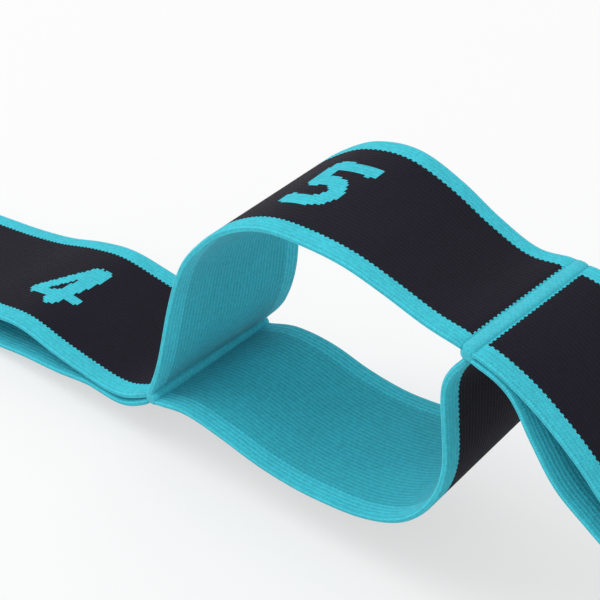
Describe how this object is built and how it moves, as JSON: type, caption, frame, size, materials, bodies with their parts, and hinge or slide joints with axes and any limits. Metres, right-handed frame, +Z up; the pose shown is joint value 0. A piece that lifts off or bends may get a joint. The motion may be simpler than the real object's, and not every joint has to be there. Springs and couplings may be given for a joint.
{
  "type": "stretching strap",
  "caption": "Flat elastic exercise strap woven as two leaves that join at bars, forming a row of loops for hands and feet.",
  "frame": {"origin": "on the ground, at the middle of the length and width of the strap as it lies", "axes": "+X along the strap from loop 1 to loop 8, +Y across it, +Z up"},
  "size_m": [0.9928, 0.04, 0.0782],
  "materials": {
    "outer_weave": "matt jacquard elastic weave, near black with turquoise borders",
    "inner_weave": "matt ribbed elastic weave, turquoise",
    "bar_weave": "dense matt bar of bound yarns, turquoise"
  },
  "bodies": {
    "bar_4_5": {"bar_4_5": "bar_weave", "loop_5_lower_near": "inner_weave"},
    "bar_1_2": {"bar_1_2": "bar_weave", "loop_1_lower_near": "inner_weave"},
    "loop_1_upper_near": {"loop_1_upper_near": "outer_weave"},
    "loop_1_upper_far": {"loop_1_upper_far": "outer_weave", "bar_end_1": "bar_weave"},
    "loop_1_lower_far": {"loop_1_lower_far": "inner_weave"},
    "bar_2_3": {"bar_2_3": "bar_weave", "loop_2_lower_near": "inner_weave"},
    "loop_2_upper_near": {"loop_2_upper_near": "outer_weave"},
    "loop_2_upper_far": {"loop_2_upper_far": "outer_weave"},
    "loop_2_lower_far": {"loop_2_lower_far": "inner_weave"},
    "bar_3_4": {"bar_3_4": "bar_weave", "loop_3_lower_near": "inner_weave"},
    "loop_3_upper_near": {"loop_3_upper_near": "outer_weave"},
    "loop_3_upper_far": {"loop_3_upper_far": "outer_weave"},
    "loop_3_lower_far": {"loop_3_lower_far": "inner_weave"},
    "loop_4_lower_near": {"loop_4_lower_near": "inner_weave"},
    "loop_4_upper_near": {"loop_4_upper_near": "outer_weave"},
    "loop_4_upper_far": {"loop_4_upper_far": "outer_weave"},
    "loop_4_lower_far": {"loop_4_lower_far": "inner_weave"},
    "loop_5_upper_near": {"loop_5_upper_near": "outer_weave"},
    "loop_5_upper_far": {"loop_5_upper_far": "outer_weave"},
    "loop_5_lower_far": {"loop_5_lower_far": "inner_weave"},
    "bar_5_6": {"bar_5_6": "bar_weave", "loop_6_lower_near": "inner_weave"},
    "loop_6_upper_near": {"loop_6_upper_near": "outer_weave"},
    "loop_6_upper_far": {"loop_6_upper_far": "outer_weave"},
    "loop_6_lower_far": {"loop_6_lower_far": "inner_weave"},
    "bar_6_7": {"bar_6_7": "bar_weave", "loop_7_lower_near": "inner_weave"},
    "loop_7_upper_near": {"loop_7_upper_near": "outer_weave"},
    "loop_7_upper_far": {"loop_7_upper_far": "outer_weave"},
    "loop_7_lower_far": {"loop_7_lower_far": "inner_weave"},
    "bar_7_8": {"bar_7_8": "bar_weave", "loop_8_lower_near": "inner_weave"},
    "loop_8_upper_near": {"loop_8_upper_near": "outer_weave"},
    "loop_8_upper_far": {"loop_8_upper_far": "outer_weave", "bar_end_8": "bar_weave"},
    "loop_8_lower_far": {"loop_8_lower_far": "inner_weave"}
  },
  "joints": [
    {"name": "open_1", "type": "hinge", "parent": "bar_1_2", "child": "loop_1_upper_near", "pos_m": [-0.36252, 0, 0.0019], "axis": [0, 1, 0], "range_deg": [0, 75]},
    {"name": "upper_crown_1", "type": "hinge", "parent": "loop_1_upper_near", "child": "loop_1_upper_far", "pos_m": [-0.42851, 0, 0.003], "axis": [0, -1, 0], "range_deg": [0, 75]},
    {"name": "lower_crown_1", "type": "hinge", "parent": "bar_1_2", "child": "loop_1_lower_far", "pos_m": [-0.42851, 0, 0.0008], "axis": [0, 1, 0], "range_deg": [0, 75]},
    {"name": "open_2", "type": "hinge", "parent": "bar_2_3", "child": "loop_2_upper_near", "pos_m": [-0.23064, 0, 0.0045], "axis": [0, 1, 0], "range_deg": [-1.5, 75]},
    {"name": "upper_crown_2", "type": "hinge", "parent": "loop_2_upper_near", "child": "loop_2_upper_far", "pos_m": [-0.29663, 0, 0.0056], "axis": [0, -1, 0], "range_deg": [-1.5, 75]},
    {"name": "lower_crown_2", "type": "hinge", "parent": "bar_2_3", "child": "loop_2_lower_far", "pos_m": [-0.29653, 0, 0.0008], "axis": [0, 1, 0], "range_deg": [-1.5, 75]},
    {"name": "open_3", "type": "hinge", "parent": "bar_3_4", "child": "loop_3_upper_near", "pos_m": [-0.09875, 0, 0.0019], "axis": [0, 1, 0], "range_deg": [-1.5, 75]},
    {"name": "upper_crown_3", "type": "hinge", "parent": "loop_3_upper_near", "child": "loop_3_upper_far", "pos_m": [-0.16465, 0, 0.0056], "axis": [0, -1, 0], "range_deg": [-1.5, 75]},
    {"name": "lower_crown_3", "type": "hinge", "parent": "bar_3_4", "child": "loop_3_lower_far", "pos_m": [-0.16474, 0, 0.0008], "axis": [0, 1, 0], "range_deg": [-1.5, 75]},
    {"name": "open_4", "type": "hinge", "parent": "loop_4_lower_near", "child": "loop_4_upper_near", "pos_m": [0.03184, 0, 0.0139], "axis": [0, 1, 0], "range_deg": [0, 50]},
    {"name": "upper_crown_4", "type": "hinge", "parent": "loop_4_upper_near", "child": "loop_4_upper_far", "pos_m": [-0.01634, 0, 0.01302], "axis": [0, -1, 0], "range_deg": [0, 50]},
    {"name": "lower_crown_4", "type": "hinge", "parent": "loop_4_lower_near", "child": "loop_4_lower_far", "pos_m": [-0.05058, 0, 0.00278], "axis": [0, 1, 0], "range_deg": [0, 50]},
    {"name": "open_5", "type": "hinge", "parent": "bar_4_5", "child": "loop_5_upper_near", "pos_m": [0.03184, 0, 0.0139], "axis": [0, -1, 0], "range_deg": [-40, 15]},
    {"name": "upper_crown_5", "type": "hinge", "parent": "loop_5_upper_near", "child": "loop_5_upper_far", "pos_m": [0.04205, 0, 0.05747], "axis": [0, 1, 0], "range_deg": [-40, 15]},
    {"name": "lower_crown_5", "type": "hinge", "parent": "bar_4_5", "child": "loop_5_lower_far", "pos_m": [0.11103, 0, 0.02843], "axis": [0, -1, 0], "range_deg": [-40, 15]},
    {"name": "open_6", "type": "hinge", "parent": "bar_5_6", "child": "loop_6_upper_near", "pos_m": [0.12125, 0, 0.072], "axis": [0, -1, 0], "range_deg": [-1.5, 60]},
    {"name": "upper_crown_6", "type": "hinge", "parent": "loop_6_upper_near", "child": "loop_6_upper_far", "pos_m": [0.17312, 0, 0.04388], "axis": [0, 1, 0], "range_deg": [-1.5, 60]},
    {"name": "lower_crown_6", "type": "hinge", "parent": "bar_5_6", "child": "loop_6_lower_far", "pos_m": [0.17886, 0, 0.03002], "axis": [0, -1, 0], "range_deg": [-1.5, 60]},
    {"name": "open_7", "type": "hinge", "parent": "bar_6_7", "child": "loop_7_upper_near", "pos_m": [0.23073, 0, 0.0019], "axis": [0, -1, 0], "range_deg": [-1.5, 50]},
    {"name": "upper_crown_7", "type": "hinge", "parent": "loop_7_upper_near", "child": "loop_7_upper_far", "pos_m": [0.29663, 0, 0.0056], "axis": [0, 1, 0], "range_deg": [-1.5, 50]},
    {"name": "lower_crown_7", "type": "hinge", "parent": "bar_6_7", "child": "loop_7_lower_far", "pos_m": [0.29672, 0, 0.0008], "axis": [0, -1, 0], "range_deg": [-1.5, 50]},
    {"name": "open_8", "type": "hinge", "parent": "bar_7_8", "child": "loop_8_upper_near", "pos_m": [0.36262, 0, 0.0045], "axis": [0, -1, 0], "range_deg": [-1.5, 75]},
    {"name": "upper_crown_8", "type": "hinge", "parent": "loop_8_upper_near", "child": "loop_8_upper_far", "pos_m": [0.42861, 0, 0.0056], "axis": [0, 1, 0], "range_deg": [-1.5, 75]},
    {"name": "lower_crown_8", "type": "hinge", "parent": "bar_7_8", "child": "loop_8_lower_far", "pos_m": [0.42851, 0, 0.0008], "axis": [0, -1, 0], "range_deg": [-1.5, 75]},
    {"name": "fold_1_2", "type": "hinge", "parent": "loop_2_upper_far", "child": "bar_1_2", "pos_m": [-0.36252, 0, 0.0019], "axis": [0, 1, 0], "range_deg": [-80, 20]},
    {"name": "fold_2_3", "type": "hinge", "parent": "loop_3_upper_far", "child": "bar_2_3", "pos_m": [-0.23064, 0, 0.0045], "axis": [0, -1, 0], "range_deg": [-80, 20]},
    {"name": "fold_3_4", "type": "hinge", "parent": "loop_4_upper_far", "child": "bar_3_4", "pos_m": [-0.09875, 0, 0.0019], "axis": [0, 1, 0], "range_deg": [-80, 20]},
    {"name": "fold_4_5", "type": "hinge", "parent": "bar_4_5", "child": "loop_4_lower_near", "pos_m": [0.03184, 0, 0.0139], "axis": [0, -1, 0], "range_deg": [-45, 20]},
    {"name": "fold_5_6", "type": "hinge", "parent": "loop_5_upper_far", "child": "bar_5_6", "pos_m": [0.12125, 0, 0.072], "axis": [0, 1, 0], "range_deg": [-80, 20]},
    {"name": "fold_6_7", "type": "hinge", "parent": "loop_6_upper_far", "child": "bar_6_7", "pos_m": [0.23073, 0, 0.0019], "axis": [0, -1, 0], "range_deg": [-80, 20]},
    {"name": "fold_7_8", "type": "hinge", "parent": "loop_7_upper_far", "child": "bar_7_8", "pos_m": [0.36262, 0, 0.0045], "axis": [0, 1, 0], "range_deg": [-80, 20]}
  ],
  "couplings": [
    {"joint": "upper_crown_1", "follows": "open_1", "ratio": 1},
    {"joint": "lower_crown_1", "follows": "open_1", "ratio": 1},
    {"joint": "upper_crown_2", "follows": "open_2", "ratio": 1},
    {"joint": "lower_crown_2", "follows": "open_2", "ratio": 1},
    {"joint": "upper_crown_3", "follows": "open_3", "ratio": 1},
    {"joint": "lower_crown_3", "follows": "open_3", "ratio": 1},
    {"joint": "upper_crown_4", "follows": "open_4", "ratio": 1},
    {"joint": "lower_crown_4", "follows": "open_4", "ratio": 1},
    {"joint": "upper_crown_5", "follows": "open_5", "ratio": 1},
    {"joint": "lower_crown_5", "follows": "open_5", "ratio": 1},
    {"joint": "upper_crown_6", "follows": "open_6", "ratio": 1},
    {"joint": "lower_crown_6", "follows": "open_6", "ratio": 1},
    {"joint": "upper_crown_7", "follows": "open_7", "ratio": 1},
    {"joint": "lower_crown_7", "follows": "open_7", "ratio": 1},
    {"joint": "upper_crown_8", "follows": "open_8", "ratio": 1},
    {"joint": "lower_crown_8", "follows": "open_8", "ratio": 1}
  ]
}
